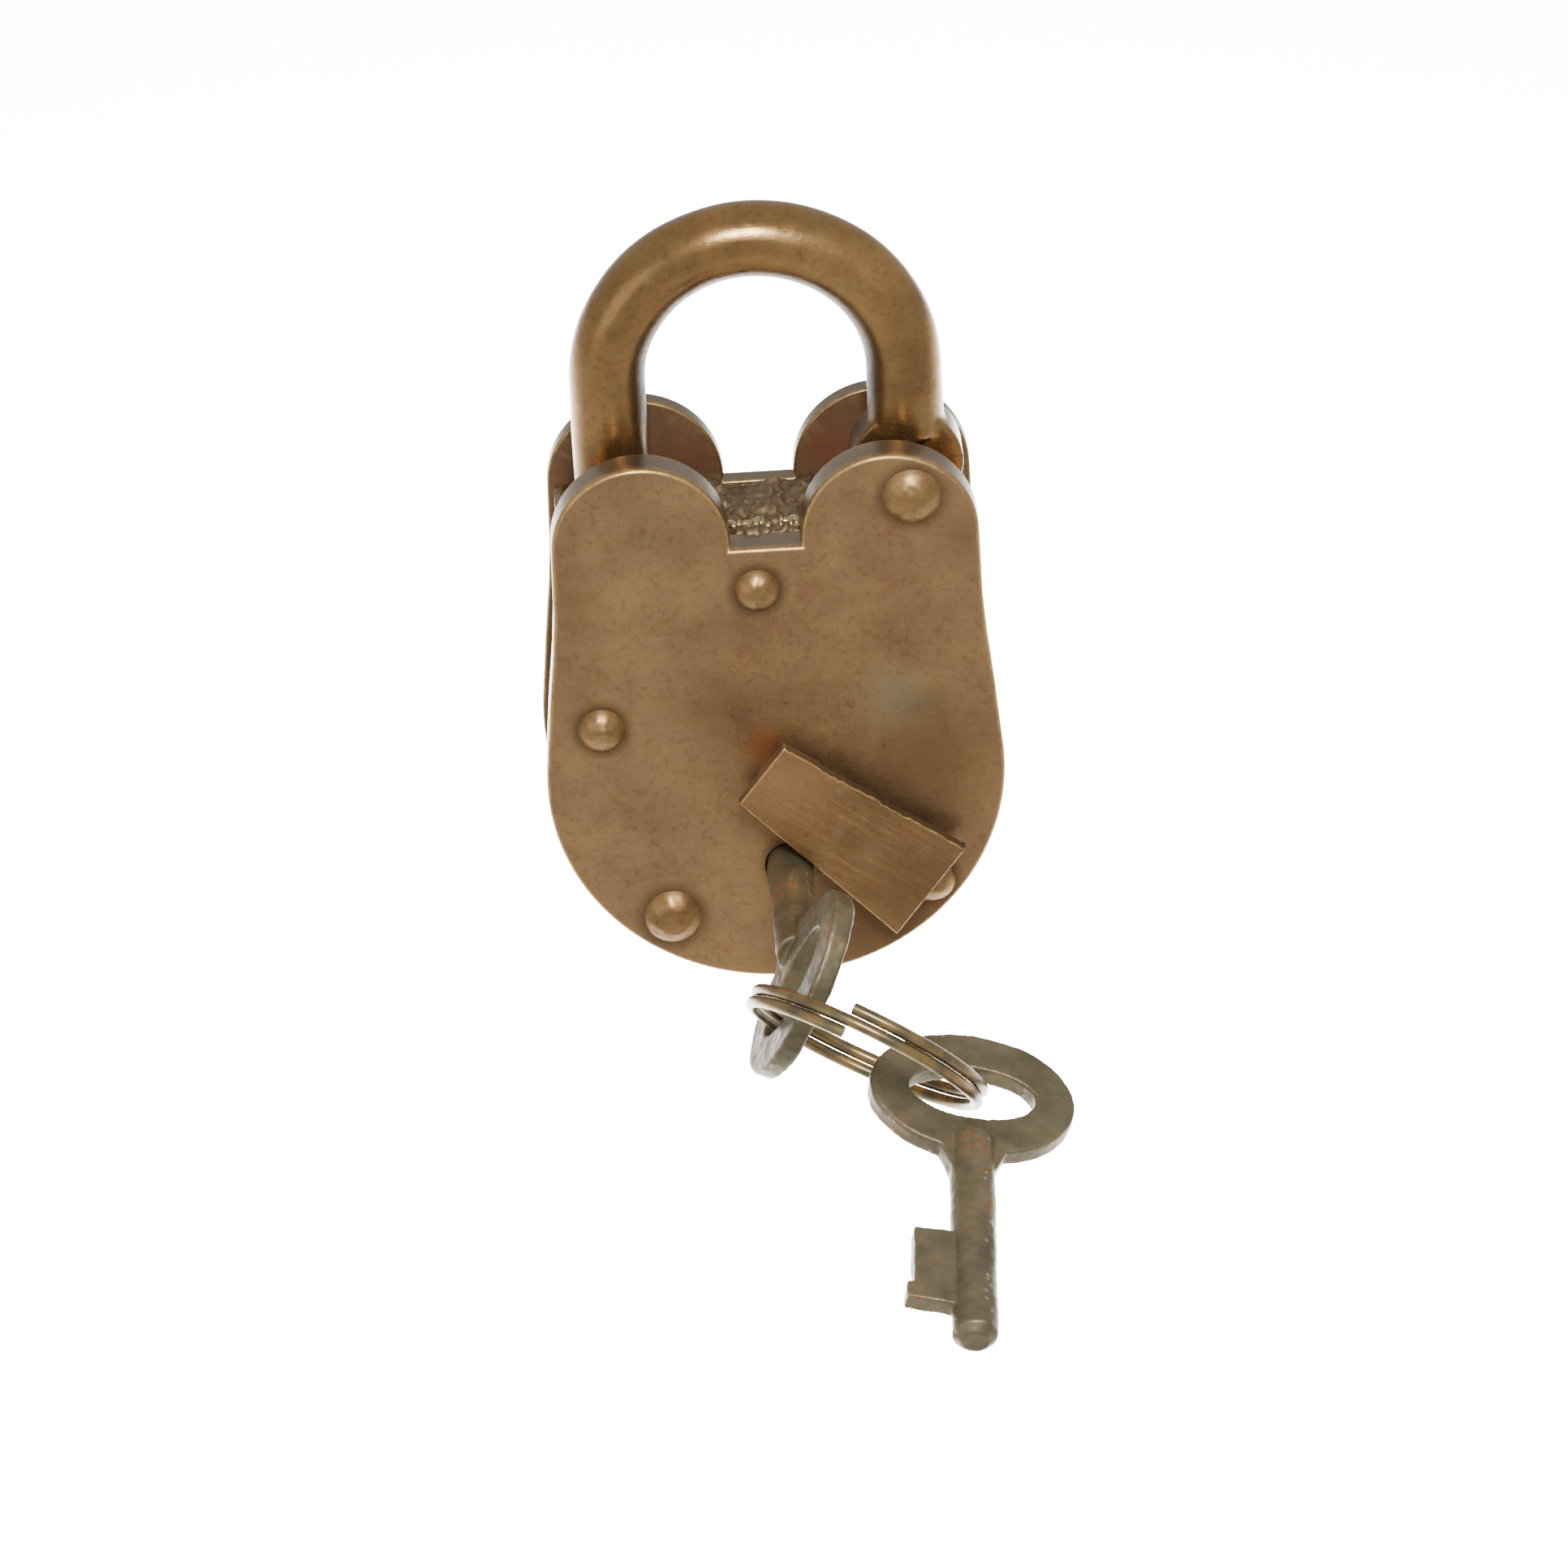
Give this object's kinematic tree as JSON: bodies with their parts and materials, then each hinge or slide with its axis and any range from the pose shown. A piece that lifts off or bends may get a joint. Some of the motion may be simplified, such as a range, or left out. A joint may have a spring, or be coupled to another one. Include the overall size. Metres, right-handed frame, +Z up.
{
  "type": "padlock",
  "caption": "Riveted plate padlock with a pivoting arched shackle, swinging keyhole cover, a key in the keyhole and a spare key on a split ring.",
  "frame": {"origin": "inside the top of the shackle's arch, half way through the lock, where the lock hangs from a hasp", "axes": "+X towards the hinge side of the shackle, +Y out of the back plate, +Z up from the body to the shackle"},
  "size_m": [0.0611, 0.1039, 0.1076],
  "materials": {
    "plated_plate": "antique bronze plating on steel plate, brushed, worn",
    "plated_rod": "antique bronze plating on forged rod, satin",
    "plated_rivet": "antique bronze plating, hammered heads",
    "bare_casting": "rough, filed, partly rusted",
    "braze": "bright beads",
    "key_iron": "dull grey-olive iron with rust in the corners",
    "ring_wire": "bronze plated wire, rubbed",
    "inner_steel": "plain steel, unplated"
  },
  "bodies": {
    "case": {"front_plate": "plated_plate", "back_plate": "plated_plate", "rim_band": "plated_plate", "saddle_block": "bare_casting", "braze_beads": "braze", "pivot_rivet": "plated_rivet", "top_rivet": "plated_rivet", "left_rivet": "plated_rivet", "low_left_rivet": "plated_rivet", "low_right_rivet": "plated_rivet", "pivot_spacers": "inner_steel", "cover_collar": "plated_plate", "guide_posts": "inner_steel", "lever_one": "inner_steel", "lever_two": "inner_steel", "lever_post": "inner_steel", "lever_springs": "inner_steel"},
    "shackle_body": {"shackle": "plated_rod"},
    "cover": {"keyhole_cover": "plated_plate", "cover_pin": "plated_plate"},
    "bolt_body": {"bolt": "inner_steel"},
    "lock_key": {"key_in_lock": "key_iron"},
    "ring": {"split_ring": "ring_wire"},
    "spare": {"spare_key": "key_iron"}
  },
  "joints": [
    {"name": "shackle_pivot", "type": "hinge", "parent": "case", "child": "shackle_body", "pos_m": [0.018, 0, -0.02565], "axis": [0, 1, 0], "range_deg": [0, 90]},
    {"name": "cover_swing", "type": "hinge", "parent": "case", "child": "cover", "pos_m": [0.0011, -0.01495, -0.06335], "axis": [0, -1, 0], "range_deg": [0, 130]},
    {"name": "key_turn", "type": "hinge", "parent": "case", "child": "lock_key", "pos_m": [0.0011, -0.01165, -0.07565], "axis": [0, 1, 0], "range_deg": [-27, 40]},
    {"name": "bolt_slide", "type": "slide", "parent": "case", "child": "bolt_body", "axis": [-1, 0, 0], "range_m": [-0.0021, 0.0031]},
    {"name": "ring_swing", "type": "hinge", "parent": "lock_key", "child": "ring", "pos_m": [-0.00136, -0.04231, -0.08033], "axis": [0.5914, 0.3854, -0.7083], "range_deg": [-15, 15]},
    {"name": "spare_key_swing", "type": "hinge", "parent": "ring", "child": "spare", "pos_m": [0.02116, -0.05538, -0.08511], "axis": [0.9743, 0.0076, -0.2252], "range_deg": [-5, 60]}
  ],
  "couplings": [
    {"joint": "bolt_slide", "follows": "key_turn", "m_per_rad": 0.0042972}
  ]
}
